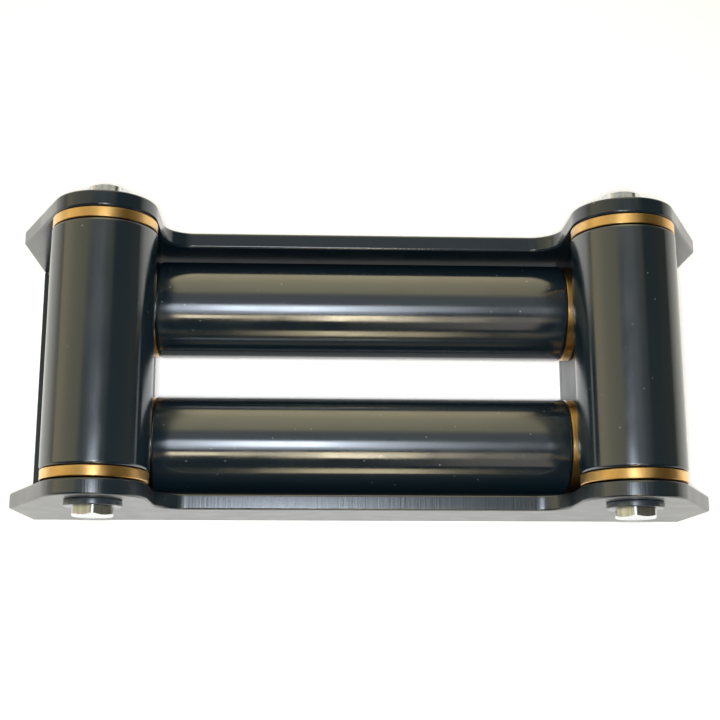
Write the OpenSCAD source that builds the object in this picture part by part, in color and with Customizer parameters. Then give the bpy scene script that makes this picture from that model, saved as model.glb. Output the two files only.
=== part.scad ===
// Four-roller fairlead: a welded plate frame that lies on its back mounting face.
// X runs along the frame, Y from the lower plate to the upper plate, Z out of the mounting face
// towards the side where the rope arrives. All sizes are in millimetres.

/* [Rollers] */
// Outside diameter of all four rollers
roller_d = 50.8; // [38:0.2:70]
// Clear width between the two vertical rollers
window_w = 203.2; // [140:0.2:320]
// Clear height between the two horizontal rollers
window_h = 22; // [12:0.5:60]
// Radius on the end edges of a roller
roller_round = 1.5; // [0.5:0.25:5]
// Depth between the back of the vertical and the front of the horizontal rollers
depth_gap = 10.7; // [6:0.1:30]
// Depth between the mounting face and the back of the horizontal rollers
back_gap = 6.1; // [5.8:0.1:30]

/* [Frame plates] */
// Thickness of the upper and lower plates
plate_t = 7.9; // [5:0.1:14]
// Gap between a horizontal roller and the plate beside it
plate_clear = 2.2; // [1:0.1:12]
// Reach of a plate past the axis of a vertical roller
end_reach = 47.5; // [40:0.5:80]
// How far the lobe of a plate stays inside the roller's own outline
lobe_inset = 0.4; // [0:0.1:3]
// How far the front edge of a plate sits behind the front of the horizontal rollers
recess_drop = 2.4; // [0:0.1:8]
// Radius of the hollow corner between a lobe and the front edge
hollow_r = 15; // [6:0.5:24]
// Radius on the long edges of a plate
edge_round = 1.2; // [0.6:0.1:2.2]

/* [Cheeks and flanges] */
// Thickness of a cheek plate that carries the horizontal axles
cheek_t = 6.4; // [4:0.1:10]
// How far a cheek stands outside the face of a vertical roller
cheek_set = 10.4; // [8:0.1:16]
// Thickness of a mounting flange
flange_t = 5.5; // [3:0.1:9]
// Distance from the end of a plate back to the end of the flange
flange_inset = 0.2; // [0.2:0.1:6]
// Width of a mounting slot
slot_w = 17.5; // [11:0.5:22]
// Length of a mounting slot from end to end
slot_l = 27; // [23:0.5:30]
// Leg of a weld bead
bead_leg = 4.5; // [2:0.1:6]

/* [Axles and bearings] */
// Diameter of an axle bolt
axle_d = 12.7; // [8:0.1:16]
// Radial running clearance between an axle and its bushes
run_clear = 0.05; // [0.02:0.01:0.1]
// Outside diameter of a bush
bush_d = 25.4; // [21:0.1:32]
// Length of a bush
bush_l = 26; // [10:0.5:40]
// Thickness of a bronze thrust washer
thrust_t = 4.8; // [2:0.1:8]
// How far the rim of a thrust washer stays inside the roller's outline
thrust_inset = 0.3; // [0.2:0.1:6]
// Gap between a thrust washer and the plate that backs it
plate_gap = 0.6; // [0.2:0.1:2]
// Gap between a thrust washer and the end of the roller
end_gap = 0.4; // [0.2:0.1:2]

/* [Fasteners] */
// Size across the flats of a bolt head and nut
hex_af = 19; // [17.5:0.5:24]
// Height of a bolt head
head_h = 4.4; // [3:0.1:9]
// Height of a nut
nut_h = 5.3; // [3:0.1:9]
// Diameter of a flat washer
washer_d = 27; // [25:0.5:34]
// Thickness of a flat washer
washer_t = 3; // [1.5:0.1:5]
// Length of bolt that shows past its nut
bolt_end = 0.9; // [0.85:0.05:4]

/* [Hidden] */
$fn = 64;
eps = 0.02;
nick = 0.06;
hair = 0.012;
roller_r = roller_d / 2;
x_v = window_w / 2 + roller_r;
y_h = window_h / 2 + roller_r;
z_h = back_gap + roller_r;
z_v = z_h + roller_d + depth_gap;
plate_in = window_h / 2 + roller_d + plate_clear;
plate_out = plate_in + plate_t;
half_l = x_v + end_reach;
cheek_in = window_w / 2 + cheek_set;
cheek_out = cheek_in + cheek_t;
cheek_top = z_h + roller_r;
flange_end = half_l - flange_inset;
slot_x = (cheek_out + flange_end) / 2;
v_half = plate_in - plate_gap - thrust_t - end_gap;
h_half = cheek_in - plate_gap - thrust_t - end_gap;
hole_d = axle_d + 0.4;
thrust_r = roller_r - thrust_inset;
hex_r = hex_af / 2 / cos(30);

// Outline of a plate, right half, seen along Y with X across and Z up
lobe_r = roller_r - lobe_inset;
front_z = cheek_top - recess_drop;
to_corner = [half_l - x_v, front_z - z_v];
touch_a = atan2(to_corner[1], to_corner[0]) + acos(lobe_r / norm(to_corner));
touch = [x_v + (lobe_r - nick) * cos(touch_a), z_v + (lobe_r - nick) * sin(touch_a)];
hollow_z = front_z + hollow_r;
flank_x = x_v - lobe_r + nick;
hollow_x = flank_x - hollow_r;

paint = [0.05, 0.055, 0.06];
roller_paint = [0.08, 0.085, 0.085];
bronze = [0.78, 0.56, 0.22];
zinc = [0.75, 0.75, 0.72];
dark_steel = [0.12, 0.13, 0.14];

// Turns a part drawn along Z so that it lies along Y
module along_y() { rotate([-90, 0, 0]) children(); }

// Turns a part drawn along Z so that it lies along X
module along_x() { rotate([0, 90, 0]) children(); }

// What is cut from a square edge at the origin to leave a quarter round
module round_cut(r) {
    difference() {
        translate([-1, -1]) square(1 + r);
        translate([r - hair, r - hair]) circle(r);
    }
}

// Rounds both faces of a plate along a straight stretch with the plate on its left
module line_cut(a, b, before, after) {
    d = b - a;
    for (face = [0, 1]) translate([0, 0, face * plate_t]) mirror([0, 0, face])
        translate([a[0], a[1], 0]) rotate([0, 0, atan2(d[1], d[0])]) translate([-before, 0, 0])
            rotate([90, 0, 90]) linear_extrude(norm(d) + before + after) round_cut(edge_round);
}

// The straight-sided part of a plate with its edges rounded
module plate_body() {
    difference() {
        linear_extrude(plate_t) polygon([[-half_l, 0], [half_l, 0], [half_l, front_z], touch, [x_v, z_v],
            [flank_x, z_v], [flank_x, hollow_z], [hollow_x, front_z], [-hollow_x, front_z],
            [-flank_x, hollow_z], [-flank_x, z_v], [-x_v, z_v], [-touch[0], touch[1]], [-half_l, front_z]]);
        line_cut([-half_l, 0], [half_l, 0], 3, 3);
        line_cut([hollow_x, front_z], [-hollow_x, front_z], 0, 0);
        for (s = [0, 1]) mirror([s, 0, 0]) {
            line_cut([half_l, 0], [half_l, front_z], 3, 3);
            line_cut([half_l, front_z], touch, 3, 3);
            line_cut([flank_x, z_v], [flank_x, hollow_z], 3, 0);
        }
    }
}

// Round end of a plate about the axis of a vertical roller
module plate_lobe() {
    rotate_extrude() {
        square([lobe_r - edge_round, plate_t]);
        translate([0, edge_round]) square([lobe_r, plate_t - 2 * edge_round]);
        for (y = [edge_round, plate_t - edge_round]) translate([lobe_r - edge_round, y]) circle(edge_round);
    }
}

// What is cut away to leave a hollow corner with rounded edges
module hollow_cut() {
    rotate_extrude() difference() {
        translate([0, -1]) square([hollow_r + edge_round, plate_t + 2]);
        translate([hollow_r + edge_round + 1, plate_t / 2])
            square([2 + 2 * edge_round, plate_t - 2 * edge_round + 2 * hair], center = true);
        for (y = [edge_round - hair, plate_t - edge_round + hair]) translate([hollow_r + edge_round, y])
            circle(edge_round);
    }
}

// One side plate of the frame, drawn flat from Z = 0 to its thickness
module flat_plate() {
    difference() {
        union() {
            plate_body();
            for (s = [-1, 1]) translate([s * x_v, z_v, 0]) plate_lobe();
        }
        for (s = [-1, 1]) {
            translate([s * (hollow_x + nick), hollow_z - nick, 0]) hollow_cut();
            translate([s * x_v, z_v, -1]) cylinder(d = hole_d, h = plate_t + 2);
        }
    }
}

module top_plate() {
    color(paint) translate([0, plate_out, 0]) rotate([90, 0, 0]) flat_plate();
}

module bottom_plate() {
    color(paint) translate([0, -plate_in, 0]) rotate([90, 0, 0]) flat_plate();
}

// Cheek on the side given by +1 or -1, standing on its flange between the plates
module cheek(s) {
    color(paint) difference() {
        translate([s > 0 ? cheek_in : -cheek_out, -plate_in, flange_t])
            cube([cheek_t, 2 * plate_in, cheek_top - flange_t]);
        for (y = [-y_h, y_h]) translate([s * cheek_in - 20, y, z_h]) along_x() cylinder(d = hole_d, h = 40);
    }
}

module left_cheek() { cheek(-1); }

module right_cheek() { cheek(1); }

module flange(s) {
    color(paint) difference() {
        translate([s > 0 ? cheek_in : -flange_end, -plate_in, 0])
            cube([flange_end - cheek_in, 2 * plate_in, flange_t]);
        translate([s * slot_x, 0, -1]) linear_extrude(flange_t + 2) {
            square([slot_l - slot_w, slot_w], center = true);
            for (x = [-1, 1]) translate([x * (slot_l - slot_w) / 2, 0]) circle(d = slot_w);
        }
    }
}

module left_flange() { flange(-1); }

module right_flange() { flange(1); }

// Quarter-round bead along Z with its square corner at the origin
module bead(l) {
    linear_extrude(l) intersection() {
        square(bead_leg);
        circle(bead_leg);
    }
}

// The beads that join one cheek, its flange and the plates, drawn for the +X end
module beads() {
    run = flange_end - cheek_out - 2;
    for (s = [0, 1]) mirror([0, s, 0]) {
        translate([cheek_out, plate_in, flange_t]) rotate([0, 90, 0]) rotate([0, 0, 180]) bead(run);
        translate([cheek_out, plate_in, flange_t]) rotate([0, 0, -90]) bead(cheek_top - flange_t - 3);
    }
    translate([cheek_out, -plate_in, flange_t]) rotate([-90, 0, 0]) rotate([0, 0, -90]) bead(2 * plate_in);
}

module left_weld_beads() { color(paint) mirror([1, 0, 0]) beads(); }

module right_weld_beads() { color(paint) beads(); }

// Hollow roller along Z about its own middle
module roller(half) {
    color(roller_paint) rotate_extrude() difference() {
        union() {
            translate([bush_d / 2, -half + roller_round])
                square([roller_r - bush_d / 2, 2 * (half - roller_round)]);
            translate([bush_d / 2, -half]) square([roller_r - roller_round - bush_d / 2, 2 * half]);
            for (s = [-1, 1]) translate([roller_r - roller_round, s * (half - roller_round)])
                circle(roller_round);
        }
        translate([-1, -half - 1]) square([1 + bush_d / 2, 2 * half + 2]);
    }
}

module left_roller() { translate([-x_v, 0, z_v]) along_y() roller(v_half); }

module right_roller() { translate([x_v, 0, z_v]) along_y() roller(v_half); }

module upper_roller() { translate([0, y_h, z_h]) along_x() roller(h_half); }

module lower_roller() { translate([0, -y_h, z_h]) along_x() roller(h_half); }

// Pair of bushes flush with the ends of a roller, along Z
module bushes(half) {
    color(bronze) for (s = [0, 1]) mirror([0, 0, s]) translate([0, 0, half - bush_l]) difference() {
        cylinder(d = bush_d, h = bush_l);
        translate([0, 0, -1]) cylinder(d = axle_d + 2 * run_clear, h = bush_l + 2);
    }
}

module left_roller_bushes() { translate([-x_v, 0, z_v]) along_y() bushes(v_half); }

module right_roller_bushes() { translate([x_v, 0, z_v]) along_y() bushes(v_half); }

module upper_roller_bushes() { translate([0, y_h, z_h]) along_x() bushes(h_half); }

module lower_roller_bushes() { translate([0, -y_h, z_h]) along_x() bushes(h_half); }

// Pair of thrust washers outside the ends of a roller, along Z
module thrust_washers(half) {
    rim = min(0.4, thrust_t / 4);
    color(bronze) for (s = [0, 1]) mirror([0, 0, s]) translate([0, 0, half + end_gap]) rotate_extrude()
        polygon([[hole_d / 2, 0], [thrust_r - rim, 0], [thrust_r, rim], [thrust_r, thrust_t - rim],
            [thrust_r - rim, thrust_t], [hole_d / 2, thrust_t]]);
}

module left_thrust_washers() { translate([-x_v, 0, z_v]) along_y() thrust_washers(v_half); }

module right_thrust_washers() { translate([x_v, 0, z_v]) along_y() thrust_washers(v_half); }

module upper_thrust_washers() { translate([0, y_h, z_h]) along_x() thrust_washers(h_half); }

module lower_thrust_washers() { translate([0, -y_h, z_h]) along_x() thrust_washers(h_half); }

// Six-sided head or nut on Z = 0 with its outer corners turned off at a slant
module hex(h) {
    slant = (hex_r - hex_af / 2 * 0.97) * tan(30);
    intersection() {
        cylinder(r = hex_r, h = h, $fn = 6);
        rotate_extrude() polygon([[0, 0], [hex_r + 1, 0], [hex_r + 1, h - slant - tan(30)],
            [hex_af / 2 * 0.97, h], [0, h]]);
    }
}

// Axle bolt along Z from the outside of one plate, with its head below and its nut end above
module axle_bolt(seat, turn) {
    color(zinc) {
        translate([0, 0, -seat - washer_t]) {
            rotate([0, 0, turn]) mirror([0, 0, 1]) hex(head_h);
            translate([0, 0, -eps]) cylinder(d = axle_d, h = 2 * (seat + washer_t) + nut_h + bolt_end - 0.8 + eps);
            translate([0, 0, 2 * (seat + washer_t) + nut_h + bolt_end - 0.8])
                cylinder(d1 = axle_d, d2 = axle_d - 1.6, h = 0.8);
        }
    }
}

module left_axle_bolt() { translate([-x_v, 0, z_v]) along_y() axle_bolt(plate_out, 0); }

module right_axle_bolt() { translate([x_v, 0, z_v]) along_y() axle_bolt(plate_out, 14); }

module upper_axle_bolt() { translate([0, y_h, z_h]) along_x() axle_bolt(cheek_out, 9); }

module lower_axle_bolt() { translate([0, -y_h, z_h]) along_x() axle_bolt(cheek_out, 22); }

// Flat washers outside both plates, along Z
module flat_washers(seat) {
    color(dark_steel) for (s = [0, 1]) mirror([0, 0, s]) translate([0, 0, seat]) difference() {
        cylinder(d = washer_d, h = washer_t);
        translate([0, 0, -1]) cylinder(d = hole_d, h = washer_t + 2);
    }
}

module vertical_flat_washers() {
    for (s = [-1, 1]) translate([s * x_v, 0, z_v]) along_y() flat_washers(plate_out);
}

module horizontal_flat_washers() {
    for (s = [-1, 1]) translate([0, s * y_h, z_h]) along_x() flat_washers(cheek_out);
}

// Nut on the upper end of an axle bolt, along Z
module nut(seat, turn) {
    color(zinc) translate([0, 0, seat + washer_t]) difference() {
        rotate([0, 0, turn]) hex(nut_h);
        translate([0, 0, -1]) cylinder(d = axle_d, h = nut_h + 2);
    }
}

module vertical_nuts() {
    translate([-x_v, 0, z_v]) along_y() nut(plate_out, 24);
    translate([x_v, 0, z_v]) along_y() nut(plate_out, 6);
}

module horizontal_nuts() {
    translate([0, y_h, z_h]) along_x() nut(cheek_out, 17);
    translate([0, -y_h, z_h]) along_x() nut(cheek_out, 3);
}

top_plate();
bottom_plate();
left_cheek();
right_cheek();
left_flange();
right_flange();
left_weld_beads();
right_weld_beads();
left_roller();
right_roller();
upper_roller();
lower_roller();
left_roller_bushes();
right_roller_bushes();
upper_roller_bushes();
lower_roller_bushes();
left_thrust_washers();
right_thrust_washers();
upper_thrust_washers();
lower_thrust_washers();
left_axle_bolt();
right_axle_bolt();
upper_axle_bolt();
lower_axle_bolt();
vertical_flat_washers();
horizontal_flat_washers();
vertical_nuts();
horizontal_nuts();
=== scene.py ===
import math

import bmesh
import bpy
from bpy.props import FloatProperty, FloatVectorProperty, IntProperty, PointerProperty
from mathutils import Matrix, Vector


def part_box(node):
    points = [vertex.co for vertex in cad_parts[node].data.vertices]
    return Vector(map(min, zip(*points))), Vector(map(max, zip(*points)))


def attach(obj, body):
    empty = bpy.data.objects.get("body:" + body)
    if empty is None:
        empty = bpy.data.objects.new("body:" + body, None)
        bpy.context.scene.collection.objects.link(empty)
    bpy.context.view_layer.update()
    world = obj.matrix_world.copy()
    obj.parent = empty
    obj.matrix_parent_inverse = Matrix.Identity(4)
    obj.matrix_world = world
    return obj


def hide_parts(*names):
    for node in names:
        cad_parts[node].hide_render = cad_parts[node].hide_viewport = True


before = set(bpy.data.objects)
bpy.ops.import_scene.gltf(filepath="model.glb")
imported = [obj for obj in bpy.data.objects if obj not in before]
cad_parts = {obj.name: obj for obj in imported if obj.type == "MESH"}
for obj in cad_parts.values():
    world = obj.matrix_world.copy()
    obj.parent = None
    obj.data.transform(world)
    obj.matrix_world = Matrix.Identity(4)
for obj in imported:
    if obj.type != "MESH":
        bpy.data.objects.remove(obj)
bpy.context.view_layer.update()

bl_info = {
    "name": "Roller fairlead",
    "version": (1, 0, 0),
    "blender": (4, 5, 0),
    "location": "View3D > Sidebar > Fairlead",
    "description": "Finished plates, rollers, bearings and fasteners of a four-roller fairlead",
    "category": "Object",
}


def middle(node):
    """Centre of a node's box."""
    low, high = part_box(node)
    return (low + high) / 2


def extent(node):
    """Size of a node's box."""
    low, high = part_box(node)
    return high - low


# Where the frame says the pieces are
PLATE_LOW, PLATE_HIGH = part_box("top_plate")
AXLE_V = middle("right_roller")
AXLE_H = middle("upper_roller")
ROLLER_R = extent("right_roller").x / 2
BUSH_R = extent("right_roller_bushes").x / 2
THRUST_R = extent("right_thrust_washers").x / 2
WASHER_R = (extent("vertical_flat_washers").x - 2 * AXLE_V.x) / 2

ENDS = {"left": -1, "right": 1}
UPRIGHT = Matrix.Rotation(math.radians(-90), 4, "X")
LENGTHWISE = Matrix.Rotation(math.radians(90), 4, "Y")

# Each roller with the axis that it lies along and the turn that lays a Z axis there
ROLLERS = (("left", "Y", UPRIGHT), ("right", "Y", UPRIGHT),
           ("upper", "X", LENGTHWISE), ("lower", "X", LENGTHWISE))

# Small lengths of the turned pieces and the fasteners, in metres
BUSH_LENGTH = 0.026
BUSH_PLAY = 0.00005
THRUST_GAP = 0.0004
SOFT_RIM = 0.0004
BORE_RIM = 0.0006
THREAD_LENGTH = 0.018
THREAD_LEAD = 0.0006
BOLT_TIP = 0.0003
HEAD_FILLET = 0.0004
HEAD_DISH = 0.00015
NUT_MOUTH = 0.0006
BEAD_SUNK = 0.0002

# Round crown of a head or nut, as a part of its size across the flats
CROWN = 0.97
# Depth of a thread, as a part of its pitch, and the steps in one turn of it
THREAD_DEPTH = 0.6134
THREAD_STEPS = 32
# Lengths that differ by less are the same
SAME = 1e-7


def length_along(node, along):
    """Length of a node's box along an axis."""
    return getattr(extent(node), along.lower())


class FairleadSizes(bpy.types.PropertyGroup):
    """Sizes of the finished pieces that the boxes of the frame don't give."""

    plate_round: FloatProperty(
        name="Plate edge radius", description="Radius on the long edges of a side plate",
        default=0.0012, unit="LENGTH")
    front_edge: FloatProperty(
        name="Front edge", description="Height of a side plate's front edge above the mounting face",
        default=0.0545, unit="LENGTH")
    hollow: FloatProperty(
        name="Hollow corner", description="Radius of the hollow corner beside a lobe",
        default=0.015, unit="LENGTH")
    sheared_edge: FloatProperty(
        name="Sheared edge", description="Radius on the edges of a cheek and a flange",
        default=0.0005, unit="LENGTH")
    slot_length: FloatProperty(
        name="Slot length", description="Mounting slot from end to end",
        default=0.027, unit="LENGTH")
    slot_width: FloatProperty(
        name="Slot width", description="Width of a mounting slot",
        default=0.0175, unit="LENGTH")
    axle: FloatProperty(
        name="Axle", description="Diameter of an axle bolt",
        default=0.0127, unit="LENGTH")
    axle_hole: FloatProperty(
        name="Axle hole", description="Diameter of the holes that an axle bolt passes",
        default=0.0131, unit="LENGTH")
    roller_round: FloatProperty(
        name="Roller edge radius", description="Radius on the end edges of a roller",
        default=0.0015, unit="LENGTH")
    bead_leg: FloatProperty(
        name="Bead leg", description="Leg of a weld bead",
        default=0.0045, unit="LENGTH")
    ripple: FloatProperty(
        name="Ripple pitch", description="Distance between the ripples of a weld bead",
        default=0.0026, unit="LENGTH")
    flats: FloatProperty(
        name="Across flats", description="Size across the flats of heads and nuts",
        default=0.019, unit="LENGTH")
    head_height: FloatProperty(
        name="Head height", description="Height of a bolt head",
        default=0.0044, unit="LENGTH")
    nut_height: FloatProperty(
        name="Nut height", description="Height of a nut",
        default=0.0053, unit="LENGTH")
    thread_pitch: FloatProperty(
        name="Thread pitch", description="Pitch of the bolt thread",
        default=0.00195, unit="LENGTH")
    around: IntProperty(
        name="Roller facets", description="Facets round a roller",
        default=192, min=48)


class FairleadFinishes(bpy.types.PropertyGroup):
    """Colours of the finishes."""

    paint_deep: FloatVectorProperty(
        name="Paint", description="Gloss black paint where it is thick",
        subtype="COLOR", default=(0.0030, 0.0085, 0.0132))
    paint_thin: FloatVectorProperty(
        name="Thin paint", description="Gloss black paint where it is thin",
        subtype="COLOR", default=(0.0048, 0.0100, 0.0145))
    dust: FloatVectorProperty(
        name="Dust", description="Specks of dust on the paint",
        subtype="COLOR", default=(0.55, 0.55, 0.52))
    bronze: FloatVectorProperty(
        name="Bronze", description="Freshly turned bronze",
        subtype="COLOR", default=(1.0, 0.65, 0.25))
    bronze_dull: FloatVectorProperty(
        name="Dull bronze", description="Handled bronze",
        subtype="COLOR", default=(0.86, 0.46, 0.11))
    zinc: FloatVectorProperty(
        name="Zinc", description="Bright zinc plate",
        subtype="COLOR", default=(0.86, 0.89, 0.92))
    zinc_dull: FloatVectorProperty(
        name="Dull zinc", description="Handled zinc plate",
        subtype="COLOR", default=(0.60, 0.63, 0.62))
    oxide: FloatVectorProperty(
        name="Black oxide", description="Black flat washers",
        subtype="COLOR", default=(0.014, 0.020, 0.028))


class FairleadStage(bpy.types.PropertyGroup):
    """Camera, floor and light."""

    lens: FloatProperty(
        name="Lens", description="Focal length", default=63.0, unit="CAMERA")
    camera_place: FloatVectorProperty(
        name="Camera", description="Where the camera stands", subtype="TRANSLATION",
        default=(-0.026554, -0.138182, 0.682179), precision=6)
    camera_turn: FloatVectorProperty(
        name="Camera turn", description="Which way the camera points", subtype="EULER",
        default=(0.2239, -0.0399, -0.0003), precision=6)
    floor: FloatVectorProperty(
        name="Floor", description="Pale floor", subtype="COLOR", default=(0.86, 0.86, 0.85))
    soft_light: FloatProperty(
        name="Soft light", description="Power of the wide light over the floor",
        default=5.0, unit="POWER")


# Node helpers

def put(tree, socket, value):
    """Sets a socket, or links it if the value is a node's output."""
    if isinstance(value, bpy.types.NodeSocket):
        tree.links.new(value, socket)
    else:
        socket.default_value = value


def add(tree, kind, **values):
    """A node with the named inputs set or linked."""
    made = tree.nodes.new("ShaderNode" + kind)
    for name, value in values.items():
        put(tree, made.inputs[name.replace("_", " ")], value)
    return made


def between(tree, value, low, high, to_low, to_high):
    """Maps a value from one range to another and holds it at the ends."""
    return add(tree, "MapRange", Value=value, From_Min=low, From_Max=high,
               To_Min=to_low, To_Max=to_high).outputs[0]


def blend(tree, factor, *colors):
    """Mixes two colours, each a colour or a node's output."""
    mixed = tree.nodes.new("ShaderNodeMix")
    mixed.data_type = "RGBA"
    put(tree, mixed.inputs[0], factor)
    for socket, color in zip((mixed.inputs[6], mixed.inputs[7]), colors):
        put(tree, socket, color if isinstance(color, bpy.types.NodeSocket) else (*color, 1.0))
    return mixed.outputs[2]


def times(tree, *factors):
    """Product of two values."""
    made = tree.nodes.new("ShaderNodeMath")
    made.operation = "MULTIPLY"
    for socket, value in zip(made.inputs, factors):
        put(tree, socket, value)
    return made.outputs[0]


def by_axis(along, on, off):
    """Three values, one for the named axis and another for the other two."""
    return tuple(on if axis == along else off for axis in "XYZ")


def grain(tree, place, scale, stretch=(1, 1, 1), detail=3.0, offset=0.0):
    """Noise on the object's own coordinates, stretched along its axes."""
    at = add(tree, "Mapping", Vector=place, Scale=stretch,
             Location=(offset, offset * 0.7, -offset))
    return add(tree, "TexNoise", Vector=at.outputs[0], Scale=scale, Detail=detail).outputs[0]


def specks(tree, place, scale, share, radius):
    """Scattered round specks: 1 on a speck and 0 between them."""
    cells = add(tree, "TexVoronoi", Vector=place, Scale=scale)
    dot = between(tree, cells.outputs["Distance"], radius * 0.6, radius, 1.0, 0.0)
    pick = add(tree, "SeparateColor", Color=cells.outputs["Color"]).outputs[0]
    return times(tree, dot, between(tree, pick, share, share + 0.001, 1.0, 0.0))


def new_finish(name, **sockets):
    """Material with even values set; returns it, its tree, shader and object coordinates."""
    material = bpy.data.materials.new(name)
    material.use_nodes = True
    tree = material.node_tree
    shader = tree.nodes["Principled BSDF"]
    for socket, value in sockets.items():
        shader.inputs[socket.replace("_", " ")].default_value = value
    return material, tree, shader, tree.nodes.new("ShaderNodeTexCoord").outputs["Object"]


def relief(tree, shader, *layers):
    """Stacks bump layers, each a height, a strength and a depth in metres."""
    normal = None
    for height, strength, depth in layers:
        bump = add(tree, "Bump", Height=height, Strength=strength, Distance=depth)
        if normal is not None:
            tree.links.new(normal, bump.inputs["Normal"])
        normal = bump.outputs[0]
    tree.links.new(normal, shader.inputs["Normal"])


def spread_along(tree, shader, along):
    """Lets turned lines spread the light along the axle."""
    axle = tree.nodes.new("ShaderNodeVectorTransform")
    axle.convert_from, axle.convert_to = "OBJECT", "WORLD"
    axle.inputs[0].default_value = by_axis(along, 1.0, 0.04)
    tree.links.new(axle.outputs[0], shader.inputs["Tangent"])


def made_once(make):
    """Makes a finish when its name is first asked for and hands out the same one after that."""
    def finish(name, *args, **kwargs):
        return bpy.data.materials.get(name) or make(name, *args, **kwargs)
    finish.__doc__ = make.__doc__
    return finish


# Finishes

def black_paint(tree, shader, thick, dust):
    """Colours gloss black paint by its thickness and puts dust on it."""
    look = bpy.context.scene.fairlead_finishes
    paint = blend(tree, thick, look.paint_deep, look.paint_thin)
    put(tree, shader.inputs["Base Color"], blend(tree, dust, paint, look.dust))


@made_once
def frame_paint(name, rough=(0.30, 0.36), cut=0.0, ior=1.72):
    """Gloss black paint on plate: orange peel, thin patches, dust and soft waviness.

    A cut plate also has cut marks across its front edges, which are smoother.
    """
    made, tree, shader, place = new_finish(name, IOR=ior)
    thick = between(tree, grain(tree, place, 38.0), 0.35, 0.65, 0.0, 1.0)
    dust = specks(tree, place, scale=120.0, share=0.16, radius=0.040)
    black_paint(tree, shader, thick, dust)
    gloss = between(tree, grain(tree, place, 70.0, offset=3.0), 0.3, 0.7, *rough)
    layers = [(grain(tree, place, 26.0, detail=1.0), 0.12, 0.0006),
              (grain(tree, place, 620.0, detail=2.0), 0.06, 0.0001), (dust, 0.5, 0.0001)]
    if cut:
        normal = tree.nodes["Texture Coordinate"].outputs["Normal"]
        facing = add(tree, "SeparateXYZ", Vector=normal).outputs["Z"]
        edge = between(tree, facing, 0.55, 0.85, 0.0, 1.0)
        lines = grain(tree, place, 1000.0, stretch=(1, 0.02, 1), detail=2.0, offset=1.0)
        layers.append((times(tree, lines, edge), cut, 0.00014))
        gloss = times(tree, gloss, between(tree, edge, 0.0, 1.0, 1.0, 0.62))
    put(tree, shader.inputs["Roughness"], gloss)
    relief(tree, shader, *layers)
    return made


@made_once
def roller_paint(name, along):
    """Gloss black over turned steel: fine lines round the roller, dust and rubbed patches."""
    made, tree, shader, place = new_finish(name, IOR=2.2, Anisotropic=0.5)
    spread_along(tree, shader, along)
    turned = grain(tree, place, 900.0, stretch=by_axis(along, 1.0, 0.02), detail=2.0)
    rubbed = grain(tree, place, 30.0, stretch=by_axis(along, 0.5, 1.0), offset=5.0)
    dust = specks(tree, place, scale=260.0, share=0.35, radius=0.055)
    black_paint(tree, shader, between(tree, rubbed, 0.35, 0.7, 0.0, 1.0), dust)
    patchy = grain(tree, place, 110.0, stretch=by_axis(along, 0.4, 1.0), detail=4.0, offset=9.0)
    put(tree, shader.inputs["Roughness"], between(tree, patchy, 0.35, 0.65, 0.13, 0.20))
    relief(tree, shader, (turned, 0.08, 0.00005),
           (grain(tree, place, 18.0, detail=1.0), 0.03, 0.0006),
           (patchy, 0.05, 0.0002), (dust, 0.5, 0.0001))
    return made


@made_once
def turned_bronze(name, along, dull=0.5):
    """Bronze with tool rings, stains and bright rubbed spots."""
    look = bpy.context.scene.fairlead_finishes
    made, tree, shader, place = new_finish(name, Metallic=1.0, Anisotropic=0.75,
                                           Coat_Weight=0.5, Coat_Roughness=0.3)
    spread_along(tree, shader, along)
    stain = between(tree, grain(tree, place, 160.0, detail=4.0), 0.36, 0.70, 0.0, dull)
    put(tree, shader.inputs["Base Color"], blend(tree, stain, look.bronze, look.bronze_dull))
    spots = grain(tree, place, 240.0, offset=2.0)
    put(tree, shader.inputs["Roughness"], between(tree, spots, 0.3, 0.7, 0.36, 0.46))
    rings = grain(tree, place, 1500.0, stretch=by_axis(along, 1.0, 0.03), detail=2.0)
    relief(tree, shader, (rings, 0.2, 0.0001),
           (grain(tree, place, 300.0, detail=4.0), 0.10, 0.0003))
    return made


@made_once
def zinc_plate(name, along):
    """Bright zinc with drawn lines along the bolt, dull patches and small dents."""
    look = bpy.context.scene.fairlead_finishes
    made, tree, shader, place = new_finish(name, Metallic=1.0)
    drawn = grain(tree, place, 700.0, stretch=by_axis(along, 0.08, 1.0), offset=6.0)
    patch = between(tree, drawn, 0.36, 0.66, 0.0, 0.9)
    put(tree, shader.inputs["Base Color"], blend(tree, patch, look.zinc, look.zinc_dull))
    spots = grain(tree, place, 320.0, offset=4.0)
    put(tree, shader.inputs["Roughness"], between(tree, spots, 0.3, 0.7, 0.26, 0.40))
    relief(tree, shader, (drawn, 0.35, 0.0002), (grain(tree, place, 500.0), 0.22, 0.0002))
    return made


@made_once
def black_oxide(name):
    """Black oxide on pressed steel washers, greyer on rubbed patches."""
    look = bpy.context.scene.fairlead_finishes
    rubbed_oxide = (0.06, 0.06, 0.058)
    made, tree, shader, place = new_finish(name, IOR=1.9)
    rub = between(tree, grain(tree, place, 260.0, detail=4.0), 0.45, 0.75, 0.0, 0.25)
    put(tree, shader.inputs["Base Color"], blend(tree, rub, look.oxide, rubbed_oxide))
    spots = grain(tree, place, 180.0, offset=1.0)
    put(tree, shader.inputs["Roughness"], between(tree, spots, 0.3, 0.7, 0.20, 0.30))
    relief(tree, shader, (grain(tree, place, 700.0), 0.2, 0.00015))
    return made


# Modelling helpers

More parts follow.
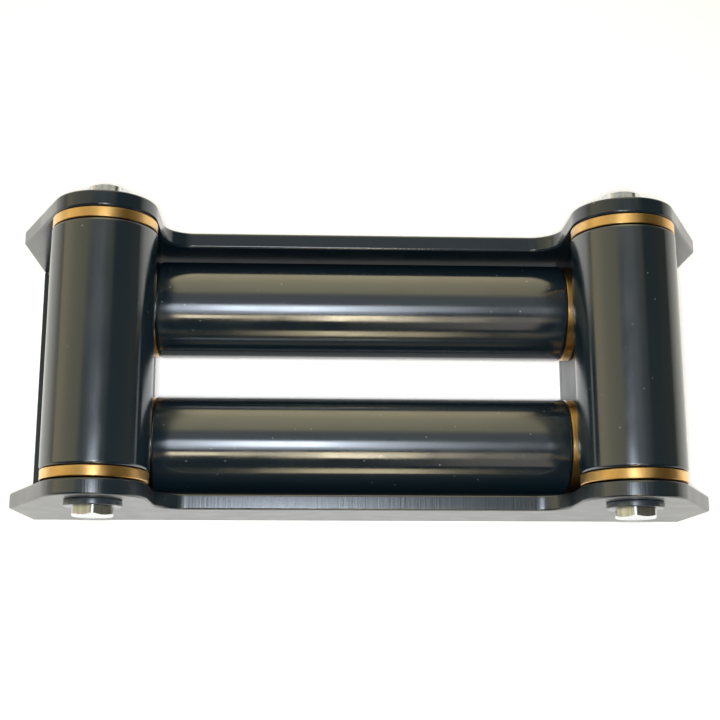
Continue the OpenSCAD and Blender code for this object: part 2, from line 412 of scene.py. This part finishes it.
def finished(name, bm, material, body, replaces, crease=32.0):
    """Turns a bmesh into a piece that stands for its nodes and rides on their body."""
    bmesh.ops.recalc_face_normals(bm, faces=bm.faces[:])
    for face in bm.faces:
        face.smooth = True
    mesh = bpy.data.meshes.new(name)
    bm.to_mesh(mesh)
    bm.free()
    if any(edge.is_loose for edge in mesh.edges):
        raise RuntimeError(f"{name} has loose edges")
    mesh.set_sharp_from_angle(angle=math.radians(crease))
    mesh.materials.append(material)
    piece = bpy.data.objects.new(name, mesh)
    bpy.context.scene.collection.objects.link(piece)
    shading = piece.modifiers.new("even_shading", "WEIGHTED_NORMAL")
    shading.keep_sharp = True
    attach(piece, body)
    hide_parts(*replaces)
    return piece


def bevel(bm, edges, radius, segments):
    """Rounds edges."""
    bmesh.ops.bevel(bm, geom=edges, offset=radius, offset_type="OFFSET", segments=segments,
                    profile=0.5, affect="EDGES", clamp_overlap=True, material=-1)


def place(bm, matrix):
    """Moves the vertices into place."""
    bmesh.ops.transform(bm, matrix=matrix, verts=bm.verts[:])


def gather(group, bm):
    """Adds a placed bmesh to a group of like ones."""
    part = bpy.data.meshes.new("part")
    bm.to_mesh(part)
    bm.free()
    group.from_mesh(part)
    bpy.data.meshes.remove(part)


def arc(bm, vert, centre, angle, steps):
    """Spins a vertex about a centre in its own plane and returns the last one."""
    spun = bmesh.ops.spin(bm, geom=[vert], cent=(*centre, vert.co.z), axis=(0, 0, 1),
                          angle=angle, steps=steps, use_merge=False, use_duplicate=False,
                          dvec=(0, 0, 0))
    return next(g for g in spun["geom_last"] if isinstance(g, bmesh.types.BMVert))


def round_hole(x, y, radius, steps=48):
    """Draws a round hole at a height."""
    def draw(bm, z):
        made = bmesh.ops.create_circle(bm, segments=steps, radius=radius,
                                       matrix=Matrix.Translation((x, y, z)))
        return list({e for v in made["verts"] for e in v.link_edges})
    return draw


def slot_hole(x, y, length, width, steps=20):
    """Draws a mounting slot at a height."""
    def draw(bm, z):
        before = set(bm.edges)
        reach, r = (length - width) / 2, width / 2
        first = bm.verts.new((x + reach, y - r, z))
        far = arc(bm, first, (x + reach, y), math.pi, steps)
        near = bm.verts.new((x - reach, y + r, z))
        last = arc(bm, near, (x - reach, y), math.pi, steps)
        bm.edges.new((far, near))
        bm.edges.new((last, first))
        return [e for e in bm.edges if e not in before]
    return draw


def level(edge):
    """Whether an edge keeps its height."""
    return abs(edge.verts[0].co.z - edge.verts[1].co.z) < SAME


def slab(bm, thickness, edge_round, segments, holes):
    """Fills a drawn outline, gives it its thickness, rounds its edges and opens its holes."""
    face = bmesh.ops.edgeloop_fill(bm, edges=bm.edges[:])["faces"]
    top = bmesh.ops.extrude_face_region(bm, geom=face)["geom"]
    bmesh.ops.translate(bm, verts=[g for g in top if isinstance(g, bmesh.types.BMVert)],
                        vec=(0, 0, thickness))
    bmesh.ops.recalc_face_normals(bm, faces=bm.faces[:])
    bevel(bm, [e for e in bm.edges if level(e)], edge_round, segments)
    rings = []
    for cap in sorted(bm.faces, key=lambda f: f.calc_area())[-2:]:
        z, rim = cap.calc_center_median().z, list(cap.edges)
        bmesh.ops.delete(bm, geom=[cap], context="FACES_ONLY")
        drawn = [draw(bm, z) for draw in holes]
        bmesh.ops.triangle_fill(bm, use_beauty=True,
                                edges=rim + [e for loop in drawn for e in loop],
                                normal=(0, 0, 1 if z > thickness / 2 else -1))
        rings.append(drawn)
    for low, high in zip(*rings):
        bmesh.ops.bridge_loops(bm, edges=low + high)


def rectangle(bm, x0, y0, x1, y1):
    """Draws a rectangle."""
    corners = [bm.verts.new((x, y, 0)) for x, y in ((x0, y0), (x1, y0), (x1, y1), (x0, y1))]
    for a, b in zip(corners, corners[1:] + corners[:1]):
        bm.edges.new((a, b))


def turned_ring(bm, inner, outer, low, high, steps, outer_round, inner_round, segments=8):
    """Ring along Z, spun from its square profile and rounded on its rims."""
    corners = [bm.verts.new((r, 0, z))
               for r, z in ((inner, low), (outer, low), (outer, high), (inner, high))]
    profile = [bm.edges.new(pair) for pair in zip(corners, corners[1:] + corners[:1])]
    before = set(bm.edges) - set(profile)
    bmesh.ops.spin(bm, geom=corners + profile, cent=(0, 0, 0), axis=(0, 0, 1),
                   angle=2 * math.pi, steps=steps, use_merge=True, use_duplicate=False,
                   dvec=(0, 0, 0))
    made = [e for e in bm.edges if e not in before]
    bmesh.ops.recalc_face_normals(bm, faces=bm.faces[:])
    rims = [e for e in made if level(e)
            and abs(e.verts[0].co.xy.length - e.verts[1].co.xy.length) < SAME]
    halfway = (inner + outer) / 2
    outside = [e for e in rims if e.verts[0].co.xy.length > halfway]
    inside = [e for e in rims if e.verts[0].co.xy.length < halfway]
    bevel(bm, outside, outer_round, segments)
    bevel(bm, inside, inner_round, 2)


def extruded(bm, edges):
    """Extrudes a loop of edges and returns the new vertices and the new loop."""
    made = bmesh.ops.extrude_edge_only(bm, edges=edges)["geom"]
    fresh = {g for g in made if isinstance(g, bmesh.types.BMVert)}
    loop = [g for g in made if isinstance(g, bmesh.types.BMEdge) and set(g.verts) <= fresh]
    return fresh, loop


def hexagon_ring(bm, flats, z, rubbed=0.0014):
    """Loop of edges on a hexagon's outline with rubbed corners."""
    kept = set(bm.edges)
    made = bmesh.ops.create_circle(bm, cap_ends=True, segments=6, radius=flats / math.sqrt(3),
                                   matrix=Matrix.Translation((0, 0, z)))
    bmesh.ops.bevel(bm, geom=made["verts"], offset=rubbed, offset_type="OFFSET", segments=6,
                    profile=0.5, affect="VERTICES", clamp_overlap=True, material=-1)
    sides = [e for e in bm.edges if e not in kept and e.calc_length() > flats / 4]
    bmesh.ops.subdivide_edges(bm, edges=sides, cuts=7)
    edges = [e for e in bm.edges if e not in kept]
    bmesh.ops.delete(bm, geom=list({f for e in edges for f in e.link_faces}),
                     context="FACES_ONLY")
    return edges


def next_ring(bm, edges, radius=None, z=None):
    """Extrudes a loop of edges to a circle of the given radius or to a height."""
    fresh, loop = extruded(bm, edges)
    for v in fresh:
        if radius is not None:
            v.co.xy = v.co.xy.normalized() * radius
        if z is not None:
            v.co.z = z
    return loop


def slant_corners(edges, flats, z, way):
    """Drops the corners of a hexagon loop as a turned slant leaves them."""
    flat = flats / 2 * CROWN
    for v in {v for e in edges for v in e.verts}:
        v.co.z = z - way * (v.co.xy.length - flat) * math.tan(math.radians(30))


class FAIRLEAD_OT_side_plates(bpy.types.Operator):
    """Two long plates with lobes round the vertical axles and rounded edges"""

    bl_idname = "fairlead.side_plates"
    bl_label = "Side plates"

    def outline(self, bm, s):
        """Draws a plate's outline, with X along the fairlead and Y towards its front."""
        half, lobe = PLATE_HIGH.x, PLATE_HIGH.z - AXLE_V.z
        reach = Vector((half - AXLE_V.x, s.front_edge - AXLE_V.z))
        touch = math.atan2(reach.y, reach.x) + math.acos(lobe / reach.length)
        back_mid = bm.verts.new((0, 0, 0))
        back = bm.verts.new((half, 0, 0))
        front = bm.verts.new((half, s.front_edge, 0))
        lobe_start = bm.verts.new((AXLE_V.x + lobe * math.cos(touch),
                                   AXLE_V.z + lobe * math.sin(touch), 0))
        lobe_end = arc(bm, lobe_start, (AXLE_V.x, AXLE_V.z), math.pi - touch, 44)
        flank = AXLE_V.x - lobe
        hollow_start = bm.verts.new((flank, s.front_edge + s.hollow, 0))
        hollow_end = arc(bm, hollow_start, (flank - s.hollow, s.front_edge + s.hollow),
                         -math.pi / 2, 16)
        front_mid = bm.verts.new((0, s.front_edge, 0))
        for pair in ((back_mid, back), (back, front), (front, lobe_start),
                     (lobe_end, hollow_start), (hollow_end, front_mid)):
            bm.edges.new(pair)
        bmesh.ops.mirror(bm, geom=bm.verts[:] + bm.edges[:], matrix=Matrix.Identity(4),
                         merge_dist=1e-6, axis="X")
        bmesh.ops.dissolve_verts(bm, verts=[v for v in bm.verts if abs(v.co.x) < 1e-6])

    def execute(self, context):
        s = context.scene.fairlead_sizes
        upper = frame_paint("gloss_upper_plate", rough=(0.18, 0.24), cut=0.3, ior=1.8)
        lower = frame_paint("gloss_lower_plate", cut=0.5, ior=2.1)
        stand = Matrix.Rotation(math.pi / 2, 4, "X")
        for name, node, coat in (("upper_side_plate", "top_plate", upper),
                                 ("lower_side_plate", "bottom_plate", lower)):
            bm = bmesh.new()
            self.outline(bm, s)
            holes = [round_hole(x, AXLE_V.z, s.axle_hole / 2) for x in (-AXLE_V.x, AXLE_V.x)]
            slab(bm, PLATE_HIGH.y - PLATE_LOW.y, s.plate_round, 6, holes)
            place(bm, Matrix.Translation((0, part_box(node)[1].y, 0)) @ stand)
            finished(name, bm, coat, "frame", [node])
        return {"FINISHED"}


class FAIRLEAD_OT_cheeks(bpy.types.Operator):
    """Cheek plates that carry the horizontal axles"""

    bl_idname = "fairlead.cheeks"
    bl_label = "Cheeks"

    def execute(self, context):
        s = context.scene.fairlead_sizes
        across = Matrix(((0, 0, 1, 0), (1, 0, 0, 0), (0, 1, 0, 0), (0, 0, 0, 1)))
        for end in ENDS:
            low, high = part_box(end + "_cheek")
            bm = bmesh.new()
            rectangle(bm, low.y, low.z, high.y, high.z)
            holes = [round_hole(y, AXLE_H.z, s.axle_hole / 2) for y in (-AXLE_H.y, AXLE_H.y)]
            slab(bm, high.x - low.x, s.sheared_edge, 3, holes)
            place(bm, Matrix.Translation((low.x, 0, 0)) @ across)
            finished(end + "_end_cheek", bm, frame_paint("gloss_plate"), "frame",
                     [end + "_cheek"])
        return {"FINISHED"}


class FAIRLEAD_OT_flanges(bpy.types.Operator):
    """Mounting flanges with their slots"""

    bl_idname = "fairlead.flanges"
    bl_label = "Flanges"

    def execute(self, context):
        s = context.scene.fairlead_sizes
        for end, side in ENDS.items():
            low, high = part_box(end + "_flange")
            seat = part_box(end + "_cheek")[side > 0].x
            outer = (low, high)[side > 0].x
            bm = bmesh.new()
            rectangle(bm, low.x, low.y, high.x, high.y)
            slot = slot_hole((seat + outer) / 2, 0, s.slot_length, s.slot_width)
            slab(bm, high.z - low.z, s.sheared_edge, 3, [slot])
            place(bm, Matrix.Translation((0, 0, low.z)))
            finished(end + "_mounting_flange", bm, frame_paint("gloss_plate"), "frame",
                     [end + "_flange"])
        return {"FINISHED"}


class FAIRLEAD_OT_weld_beads(bpy.types.Operator):
    """Rippled weld beads in the corners of cheek, flange and plates"""

    bl_idname = "fairlead.weld_beads"
    bl_label = "Weld beads"

    def bead(self, bm, s, corner, along, first, second, length):
        """Quarter-round bead with crescent ripples, extruded ring by ring along a corner."""
        corner, along, first, second = (Vector(v) for v in (corner, along, first, second))
        leg, pitch = s.bead_leg, s.ripple
        arcs, rings = 8, max(8, round(length / pitch * 5))
        root = corner + (first + second) * -BEAD_SUNK
        loop = [bm.verts.new(root)]
        loop += [bm.verts.new(corner) for _ in range(arcs + 1)]
        edges = [bm.edges.new(pair) for pair in zip(loop, loop[1:] + loop[:1])]
        bm.faces.new(loop)
        for ring in range(rings + 1):
            way = length * ring / rings
            if ring:
                fresh, edges = extruded(bm, edges)
                loop = [next(e.other_vert(v) for e in v.link_edges if e.other_vert(v) in fresh)
                        for v in loop]
            # Thinner at both ends, and wavering slowly and quickly on the way
            tip = min(1.0, 0.45 + min(way, length - way) / (1.2 * leg))
            slow, quick = math.sin(way * 410), math.sin(way * 1130 + corner.y * 90)
            swell = 0.955 + 0.03 * slow + 0.015 * quick
            loop[0].co = root + along * way
            for i, v in enumerate(loop[1:]):
                turn = math.pi / 2 * i / arcs
                bow = math.sin(2 * turn)
                phase = (way / pitch + 0.45 * bow) % 1.0
                dip = 0.075 * (1 - bow * 0.3) * (1 - phase) ** 2
                out = first * math.cos(turn) + second * math.sin(turn)
                v.co = corner + out * (leg * tip * (swell - dip)) + along * way
        bm.faces.new(loop)

    def execute(self, context):
        s = context.scene.fairlead_sizes
        coat = frame_paint("gloss_beads", rough=(0.14, 0.24))
        for end, side in ENDS.items():
            cheek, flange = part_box(end + "_cheek"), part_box(end + "_flange")
            x, end_x = cheek[side > 0].x, flange[side > 0].x
            y, z = cheek[1].y, flange[1].z
            outwards, forwards = (side, 0, 0), (0, 0, 1)
            bm = bmesh.new()
            for way in (-1, 1):
                corner, inwards = (x, way * y, z), (0, -way, 0)
                self.bead(bm, s, corner, outwards, inwards, forwards, abs(end_x - x) - 0.002)
                self.bead(bm, s, corner, forwards, outwards, inwards, cheek[1].z - z - 0.003)
            self.bead(bm, s, (x, -y, z), (0, 1, 0), outwards, forwards, 2 * y)
            finished(end + "_end_welds", bm, coat, "frame",
                     [end + "_weld_beads"], crease=50.0)
        return {"FINISHED"}


class FAIRLEAD_OT_rollers(bpy.types.Operator):
    """Four hollow rollers with rounded ends"""

    bl_idname = "fairlead.rollers"
    bl_label = "Rollers"

    def execute(self, context):
        s = context.scene.fairlead_sizes
        for name, along, turn in ROLLERS:
            node = name + "_roller"
            half = length_along(node, along) / 2
            bm = bmesh.new()
            turned_ring(bm, BUSH_R, ROLLER_R, -half, half, s.around, s.roller_round, BORE_RIM, 10)
            place(bm, Matrix.Translation(middle(node)) @ turn)
            finished(name + "_rope_roller", bm,
                     roller_paint("roller_paint_" + along.lower(), along),
                     node + "_body", [node])
        return {"FINISHED"}


class FAIRLEAD_OT_bushes(bpy.types.Operator):
    """Plain bushes in the ends of the rollers"""

    bl_idname = "fairlead.bushes"
    bl_label = "Bushes"

    def execute(self, context):
        s = context.scene.fairlead_sizes
        for name, along, turn in ROLLERS:
            roller = name + "_roller"
            half = length_along(roller, along) / 2
            bm = bmesh.new()
            for way in (-1, 1):
                low, high = sorted((way * half, way * (half - BUSH_LENGTH)))
                turned_ring(bm, s.axle / 2 + BUSH_PLAY, BUSH_R, low, high, 72,
                            SOFT_RIM, BORE_RIM, 2)
            place(bm, Matrix.Translation(middle(roller)) @ turn)
            finished(name + "_bushes", bm,
                     turned_bronze("bush_bronze_" + along.lower(), along, dull=0.9),
                     roller + "_body", [roller + "_bushes"])
        return {"FINISHED"}


class FAIRLEAD_OT_thrust_washers(bpy.types.Operator):
    """Bronze washers at both ends of each roller"""

    bl_idname = "fairlead.thrust_washers"
    bl_label = "Thrust washers"

    def execute(self, context):
        s = context.scene.fairlead_sizes
        for name, along, turn in ROLLERS:
            node = name + "_thrust_washers"
            end = length_along(node, along) / 2
            roller_end = length_along(name + "_roller", along) / 2
            bm = bmesh.new()
            for way in (-1, 1):
                low, high = sorted((way * end, way * (roller_end + THRUST_GAP)))
                turned_ring(bm, s.axle_hole / 2, THRUST_R, low, high, 160, SOFT_RIM, SOFT_RIM, 3)
            place(bm, Matrix.Translation(middle(node)) @ turn)
            finished(name + "_bronze_washers", bm,
                     turned_bronze("thrust_bronze_" + along.lower(), along),
                     "frame", [node])
        return {"FINISHED"}


class FAIRLEAD_OT_axle_bolts(bpy.types.Operator):
    """Hexagon bolts that serve as axles, with thread at the nut end"""

    bl_idname = "fairlead.axle_bolts"
    bl_label = "Axle bolts"

    def blank(self, bm, s, length, start, core):
        """Bolt along Z with its head below the origin and its shank above, thinner from start."""
        head, r = s.head_height, s.axle / 2
        ring = hexagon_ring(bm, s.flats, -head)
        slant_corners(ring, s.flats, -head, -1)
        crown = next_ring(bm, ring, s.flats / 2 * CROWN, -head)
        rim = next_ring(bm, crown, s.flats * 0.40, -head)
        dish = next_ring(bm, rim, s.flats * 0.385, -head + HEAD_DISH)
        bmesh.ops.edgeloop_fill(bm, edges=dish)
        shank = next_ring(bm, ring, z=0.0)
        for radius, z in ((r + HEAD_FILLET, 0.0), (r, HEAD_FILLET), (r, start),
                          (core, start + THREAD_LEAD), (core, length - BOLT_TIP),
                          (core - BOLT_TIP, length)):
            shank = next_ring(bm, shank, radius, z)
        bmesh.ops.edgeloop_fill(bm, edges=shank)

    def thread(self, bm, s, length, start, core):
        """Ridge spun along the thin end of the shank and cut off at the tip."""
        kept = {*bm.verts, *bm.edges, *bm.faces}
        crest, root, pitch = s.axle / 2, core - 0.0002, s.thread_pitch
        ridge = [bm.verts.new((r, 0, start - 0.0008 + z)) for r, z in (
            (root, 0.0), (root, 0.86 * pitch), (crest, 0.5 * pitch), (crest, 0.36 * pitch))]
        profile = [bm.edges.new(pair) for pair in zip(ridge, ridge[1:] + ridge[:1])]
        bm.faces.new(ridge)
        turns = math.ceil((length - start) / pitch) + 1
        bmesh.ops.spin(bm, geom=ridge + profile, cent=(0, 0, 0), axis=(0, 0, 1),
                       angle=2 * math.pi * turns, steps=turns * THREAD_STEPS, use_merge=False,
                       use_duplicate=False, dvec=(0, 0, pitch / THREAD_STEPS))
        thread = [g for g in (*bm.verts, *bm.edges, *bm.faces) if g not in kept]
        cut = bmesh.ops.bisect_plane(bm, geom=thread, plane_co=(0, 0, length - BOLT_TIP),
                                     plane_no=(0, 0, 1), clear_outer=True)["geom_cut"]
        bmesh.ops.triangle_fill(bm, use_beauty=True, normal=(0, 0, 1),
                                edges=[g for g in cut if isinstance(g, bmesh.types.BMEdge)])

    def execute(self, context):
        s = context.scene.fairlead_sizes
        core = s.axle / 2 - THREAD_DEPTH * s.thread_pitch
        for (name, along, turn), twist in zip(ROLLERS, (9, -15, 9, 22)):
            node, along = name + "_axle_bolt", along.lower()
            low, high = (getattr(corner, along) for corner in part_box(node))
            length = high - low - s.head_height
            bm = bmesh.new()
            self.blank(bm, s, length, length - THREAD_LENGTH, core)
            self.thread(bm, s, length, length - THREAD_LENGTH, core)
            at = middle(name + "_roller")
            setattr(at, along, low + s.head_height)
            spin = Matrix.Rotation(math.radians(twist), 4, "Z")
            place(bm, Matrix.Translation(at) @ turn @ spin)
            finished(name + "_axle", bm, zinc_plate("zinc_plate_" + along, along.upper()),
                     "frame", [node])
        return {"FINISHED"}


class FAIRLEAD_OT_flat_washers(bpy.types.Operator):
    """Black flat washers under the heads and nuts"""

    bl_idname = "fairlead.flat_washers"
    bl_label = "Flat washers"

    def execute(self, context):
        s = context.scene.fairlead_sizes
        for name, along, turn, seat, rollers in (
                ("vertical", "Y", UPRIGHT, PLATE_HIGH.y, ("left", "right")),
                ("horizontal", "X", LENGTHWISE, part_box("right_cheek")[1].x, ("upper", "lower"))):
            node = name + "_flat_washers"
            reach = length_along(node, along) / 2
            group = bmesh.new()
            for roller in rollers:
                bm = bmesh.new()
                for way in (-1, 1):
                    low, high = sorted((way * seat, way * reach))
                    turned_ring(bm, s.axle_hole / 2, WASHER_R, low, high, 96, 0.0005, 0.0003, 3)
                place(bm, Matrix.Translation(middle(roller + "_roller")) @ turn)
                gather(group, bm)
            finished(name + "_washers", group, black_oxide("black_oxide"), "frame",
                     [node])
        return {"FINISHED"}


class FAIRLEAD_OT_nuts(bpy.types.Operator):
    """Thin nuts at the ends of the axle bolts"""

    bl_idname = "fairlead.nuts"
    bl_label = "Nuts"

    def nut(self, bm, s):
        """Nut from the origin up along Z, slanted on both faces."""
        lower = hexagon_ring(bm, s.flats, 0.0)
        slant_corners(lower, s.flats, 0.0, -1)
        upper = next_ring(bm, lower)
        slant_corners(upper, s.flats, s.nut_height, 1)
        bore, rings = s.axle / 2, []
        for ring, z, mouth in ((upper, s.nut_height, s.nut_height - NUT_MOUTH),
                               (lower, 0.0, NUT_MOUTH)):
            ring = next_ring(bm, ring, s.flats / 2 * CROWN, z)
            ring = next_ring(bm, ring, bore + NUT_MOUTH, z)
            rings += next_ring(bm, ring, bore, mouth)
        bmesh.ops.bridge_loops(bm, edges=rings)

    def execute(self, context):
        s = context.scene.fairlead_sizes
        for name, along, turn, rollers in (
                ("vertical", "y", UPRIGHT, (("left", 34), ("right", 24))),
                ("horizontal", "x", LENGTHWISE, (("upper", 17), ("lower", 3)))):
            node = name + "_nuts"
            group = bmesh.new()
            for roller, twist in rollers:
                bm = bmesh.new()
                self.nut(bm, s)
                at = middle(roller + "_roller")
                setattr(at, along, getattr(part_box(node)[0], along))
                spin = Matrix.Rotation(math.radians(twist), 4, "Z")
                place(bm, Matrix.Translation(at) @ turn @ spin)
                gather(group, bm)
            finished(name + "_lock_nuts", group, zinc_plate("zinc_plate_" + along, along.upper()),
                     "frame", [node])
        return {"FINISHED"}


class FAIRLEAD_OT_stage(bpy.types.Operator):
    """Pale floor, soft light and the camera"""

    bl_idname = "fairlead.stage"
    bl_label = "Stage"

    aim = Vector((0, 0, 0.05))

    def area(self, name, way, distance, size, power, color, seen=True):
        """Soft light in a direction from the fairlead, facing it, its first side lengthwise."""
        light = bpy.data.lights.new(name, "AREA")
        light.shape, light.size, light.size_y = "RECTANGLE", *size
        light.energy, light.color = power, color
        lamp = bpy.data.objects.new(name, light)
        towards = Vector(way).normalized()
        lamp.location = self.aim + towards * distance
        across = towards.cross(Vector((1, 0, 0))).normalized()
        lamp.rotation_euler = Matrix((across.cross(towards), across, towards)).transposed().to_euler()
        lamp.visible_glossy = seen
        bpy.context.scene.collection.objects.link(lamp)

    def floor(self, scene, s):
        """Wide pale floor just under the mounting face."""
        bm = bmesh.new()
        bmesh.ops.create_grid(bm, x_segments=8, y_segments=8, size=8.0,
                              matrix=Matrix.Translation((0, 0, -0.0004)))
        mesh = bpy.data.meshes.new("floor")
        bm.to_mesh(mesh)
        bm.free()
        pale, tree, shader, at = new_finish("pale_floor", Roughness=0.6, Emission_Strength=0.16,
                                            Emission_Color=(1.0, 1.0, 1.0, 1.0))
        tone = between(tree, grain(tree, at, 3.0), 0.3, 0.7, 0.0, 1.0)
        worn = tuple(c * 0.985 for c in s.floor)
        put(tree, shader.inputs["Base Color"], blend(tree, tone, s.floor, worn))
        mesh.materials.append(pale)
        floor = bpy.data.objects.new("floor", mesh)
        scene.collection.objects.link(floor)

    def surroundings(self, scene):
        """Dim room: warm walls, brighter towards the floor, darker on the right and in front."""
        world = bpy.data.worlds.new("soft_room")
        world.use_nodes = True
        scene.world = world
        tree = world.node_tree
        background = tree.nodes["Background"]
        way = tree.nodes.new("ShaderNodeTexCoord").outputs["Generated"]
        axes = add(tree, "SeparateXYZ", Vector=way)
        ramp = tree.nodes.new("ShaderNodeValToRGB")
        tree.links.new(axes.outputs["Z"], ramp.inputs[0])
        stops = ((0.0, (0.86, 0.75, 0.48)), (0.26, (0.86, 0.75, 0.48)),
                 (0.50, (0.66, 0.59, 0.38)), (0.84, (0.50, 0.45, 0.29)),
                 (0.915, (0.18, 0.18, 0.165)), (1.0, (0.17, 0.18, 0.185)))
        while len(ramp.color_ramp.elements) < len(stops):
            ramp.color_ramp.elements.new(0.5)
        for element, (at, color) in zip(ramp.color_ramp.elements, stops):
            element.position, element.color = at, (*color, 1.0)
        tree.links.new(ramp.outputs[0], background.inputs["Color"])
        power = 2.0
        for axis, low, high, at_low, at_high in (
                ("X", 0.10, 0.50, 1.0, 0.06), ("X", -0.40, -0.15, 0.52, 1.0),
                ("Y", -0.40, -0.12, 0.03, 1.0), ("Z", -0.03, 0.06, 0.06, 1.0)):
            shade = between(tree, axes.outputs[axis], low, high, at_low, at_high)
            power = times(tree, shade, power)
        tree.links.new(power, background.inputs["Strength"])

    def lamps(self, s):
        """Light over the floor, a soft-edged pale lamp near the camera, and the room's lamps."""
        above = Vector(s.camera_place) - self.aim
        self.area("over_floor", above, above.length + 0.02, (0.05, 0.05), s.soft_light,
                  (1.0, 1.0, 1.0), seen=False)
        for name, at, size, power in (
                ("near_lamp_wide", (-0.0625, -0.105, 0.695), (0.275, 0.27), 0.42),
                ("near_lamp_middle", (-0.062, -0.078, 0.695), (0.135, 0.14), 0.28),
                ("near_lamp_core", (-0.050, -0.088, 0.695), (0.06, 0.17), 0.12)):
            self.area(name, at, Vector(at).length, size, power, (0.78, 0.87, 1.0))
        for name, way, size, power, color in (
                ("ceiling", (0.0, -0.10, 1.0), (0.54, 0.40), 0.90, (0.82, 0.90, 1.0)),
                ("lamp", (0.035, -0.495, 0.868), (0.09, 0.36), 1.65, (1.0, 0.88, 0.62)),
                ("lamp_side", (-0.155, -0.465, 0.872), (0.18, 0.20), 0.80, (1.0, 0.88, 0.62)),
                ("low_lamp", (0.035, -0.92, 0.36), (0.22, 0.36), 1.05, (1.0, 0.86, 0.55)),
                ("brown_wall", (0.24, -0.60, 0.76), (0.37, 0.90), 0.575, (1.0, 0.88, 0.78))):
            self.area(name, way, 1.6, size, power, color)

    def execute(self, context):
        scene, s = context.scene, context.scene.fairlead_stage
        scene.view_settings.view_transform = "Standard"
        self.floor(scene, s)
        self.surroundings(scene)
        self.lamps(s)
        camera = bpy.data.cameras.new("camera")
        camera.lens, camera.sensor_width, camera.clip_start = s.lens, 36.0, 0.01
        eye = bpy.data.objects.new("camera", camera)
        eye.location, eye.rotation_euler = s.camera_place, s.camera_turn
        scene.collection.objects.link(eye)
        scene.camera = eye
        return {"FINISHED"}


STEPS = (FAIRLEAD_OT_stage, FAIRLEAD_OT_side_plates, FAIRLEAD_OT_cheeks, FAIRLEAD_OT_flanges,
         FAIRLEAD_OT_weld_beads, FAIRLEAD_OT_rollers, FAIRLEAD_OT_bushes,
         FAIRLEAD_OT_thrust_washers, FAIRLEAD_OT_axle_bolts, FAIRLEAD_OT_flat_washers,
         FAIRLEAD_OT_nuts)


class FAIRLEAD_PT_panel(bpy.types.Panel):
    """Lists the sizes, finishes and steps of the fairlead"""

    bl_idname = "FAIRLEAD_PT_panel"
    bl_label = "Roller fairlead"
    bl_space_type = "VIEW_3D"
    bl_region_type = "UI"
    bl_category = "Fairlead"

    def draw(self, context):
        scene = context.scene
        for group in (scene.fairlead_sizes, scene.fairlead_finishes, scene.fairlead_stage):
            box = self.layout.box()
            for name in group.__annotations__:
                box.prop(group, name)
        for step in STEPS:
            self.layout.operator(step.bl_idname)


CLASSES = (FairleadSizes, FairleadFinishes, FairleadStage, *STEPS, FAIRLEAD_PT_panel)


def register():
    for cls in CLASSES:
        bpy.utils.register_class(cls)
    bpy.types.Scene.fairlead_sizes = PointerProperty(type=FairleadSizes)
    bpy.types.Scene.fairlead_finishes = PointerProperty(type=FairleadFinishes)
    bpy.types.Scene.fairlead_stage = PointerProperty(type=FairleadStage)


def unregister():
    del bpy.types.Scene.fairlead_stage
    del bpy.types.Scene.fairlead_finishes
    del bpy.types.Scene.fairlead_sizes
    for cls in reversed(CLASSES):
        bpy.utils.unregister_class(cls)


def main():
    register()
    for step in STEPS:
        group, name = step.bl_idname.split(".")
        getattr(getattr(bpy.ops, group), name)()


if __name__ == "__main__":
    main()
